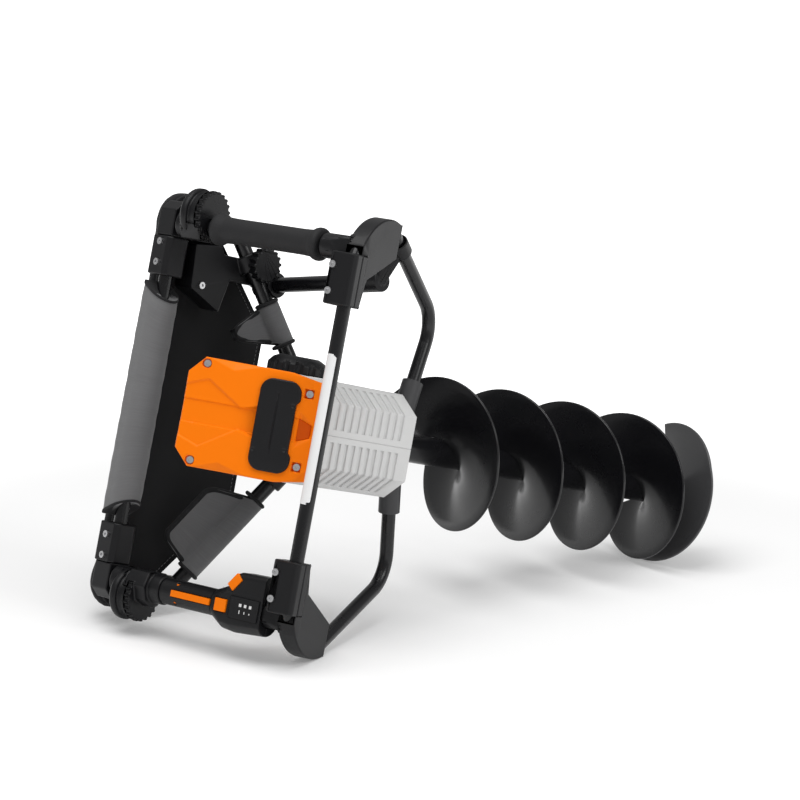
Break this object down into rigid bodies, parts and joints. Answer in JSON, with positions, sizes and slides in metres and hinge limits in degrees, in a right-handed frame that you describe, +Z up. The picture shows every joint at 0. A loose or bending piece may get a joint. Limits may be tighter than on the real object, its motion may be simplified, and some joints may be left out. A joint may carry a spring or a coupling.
{
  "type": "earth auger",
  "caption": "Cordless earth auger with a tube handle frame, a hip pad and a spiral drill bit, lying on its side.",
  "frame": {"origin": "bottom centre of the bounding box, on the floor that the machine lies on", "axes": "+X along the drill towards its point, level with the floor; +Y to the hip pad's side; +Z up"},
  "size_m": [0.9652, 0.389, 0.5593],
  "materials": {
    "tube_black": "satin",
    "plastic_black": "satin",
    "foam_black": "matte",
    "plastic_orange": "satin",
    "plastic_grey": "matte",
    "fabric_black": "woven",
    "fabric_dark_grey": "woven",
    "fabric_grey": "woven",
    "steel": "satin",
    "motor_iron": "satin",
    "cast_dark": "matte",
    "circuit": "matte",
    "bit_black": "gloss",
    "bit_steel": "satin"
  },
  "bodies": {
    "machine": {"frame_tube": "tube_black", "bracket_cap_left": "plastic_black", "bracket_cap_right": "plastic_black", "bracket_wing_left": "plastic_black", "bracket_wing_right": "plastic_black", "bracket_screws": "steel", "handle_tube_left": "tube_black", "foam_grip": "foam_black", "control_shell_upper": "plastic_black", "control_shell_lower": "plastic_black", "handle_core_right": "tube_black", "indicator_panel": "plastic_black", "switch_block": "plastic_black", "rear_hub_left": "plastic_black", "rear_hub_right": "plastic_black", "rear_tube": "tube_black", "rear_clamp_left": "plastic_black", "rear_clamp_right": "plastic_black", "rear_screws": "steel", "rear_sleeve": "fabric_grey", "pad_board": "plastic_black", "hip_cushion": "fabric_black", "strut_left": "tube_black", "strut_right": "tube_black", "strut_yoke": "plastic_black", "strut_wrap_left": "fabric_dark_grey", "strut_wrap_right": "fabric_dark_grey", "stay_block": "plastic_black", "stay_bar": "tube_black", "stay_boot": "foam_black", "stay_bracket": "plastic_black", "shell_left": "plastic_grey", "shell_right": "plastic_grey", "front_cover": "plastic_orange", "cover_screws": "steel", "cover_plate": "plastic_black", "gear_case": "cast_dark", "gear_lid": "cast_dark", "spindle_bearings": "steel", "motor_stator": "motor_iron", "motor_board": "circuit", "battery_dock": "plastic_black"},
    "drill": {"spindle": "steel", "output_gear": "steel", "bit_tube": "bit_black", "bit_flight": "bit_black", "bit_cutter": "bit_steel", "bit_point": "bit_steel", "bit_pin": "steel"},
    "countershaft": {"countershaft": "steel"},
    "rotor": {"motor_rotor": "steel"},
    "trigger": {"trigger": "plastic_black"},
    "palm_lever": {"palm_lever": "plastic_orange"},
    "mode_button": {"mode_button": "plastic_orange"},
    "lock_slider": {"lock_slider": "plastic_orange"},
    "battery": {"battery": "plastic_black"},
    "battery_latch": {"battery_latch": "plastic_orange"},
    "stay_knob": {"stay_knob": "plastic_black"},
    "intake_cap": {"intake_cap": "plastic_black"}
  },
  "joints": [
    {"name": "spindle_spin", "type": "hinge", "parent": "machine", "child": "drill", "pos_m": [-0.16892, -0.04529, 0.24013], "axis": [0.9691, 0, -0.2468], "continuous": true},
    {"name": "countershaft_spin", "type": "hinge", "parent": "machine", "child": "countershaft", "pos_m": [-0.18755, -0.09469, 0.24804], "axis": [0.9691, 0, -0.2468], "continuous": true},
    {"name": "rotor_spin", "type": "hinge", "parent": "machine", "child": "rotor", "pos_m": [-0.25575, -0.07074, 0.26387], "axis": [0.9691, 0, -0.2468], "continuous": true},
    {"name": "trigger_pull", "type": "hinge", "parent": "machine", "child": "trigger", "pos_m": [-0.40365, -0.06518, 0.06131], "axis": [0.2463, 0.0621, 0.9672], "range_deg": [0, 9], "stiffness_Nm_per_rad": 0.6, "springref_deg": -2.86},
    {"name": "palm_press", "type": "hinge", "parent": "machine", "child": "palm_lever", "pos_m": [-0.43764, -0.01019, 0.06644], "axis": [0.2463, 0.0621, 0.9672], "range_deg": [0, 2.5], "stiffness_Nm_per_rad": 1, "springref_deg": -2.86},
    {"name": "button_press", "type": "slide", "parent": "machine", "child": "mode_button", "axis": [0.9447, 0.2075, -0.2539], "range_m": [0, 0.002], "stiffness_N_per_m": 500, "springref_m": -0.001},
    {"name": "lock_slide", "type": "slide", "parent": "machine", "child": "lock_slider", "axis": [0.9447, 0.2075, -0.2539], "range_m": [0, 0.005]},
    {"name": "battery_slide", "type": "slide", "parent": "machine", "child": "battery", "axis": [-0.9691, 0, 0.2468], "range_m": [0, 0.15]},
    {"name": "latch_tilt", "type": "hinge", "parent": "machine", "child": "battery_latch", "pos_m": [-0.29086, 0.07043, 0.26375], "axis": [-0.2463, -0.0621, -0.9672], "range_deg": [0, 6], "stiffness_Nm_per_rad": 1, "springref_deg": -2.86},
    {"name": "knob_turn", "type": "hinge", "parent": "machine", "child": "stay_knob", "pos_m": [-0.22716, 0.10876, 0.45221], "axis": [0.0153, -0.9981, 0.0602], "range_deg": [0, 180]},
    {"name": "cap_twist", "type": "hinge", "parent": "machine", "child": "intake_cap", "pos_m": [-0.28292, -0.04606, 0.33951], "axis": [0.2463, 0.0621, 0.9672], "range_deg": [0, 60]}
  ],
  "couplings": [
    {"joint": "countershaft_spin", "follows": "spindle_spin", "ratio": -3.7143},
    {"joint": "rotor_spin", "follows": "spindle_spin", "ratio": 12.204}
  ]
}
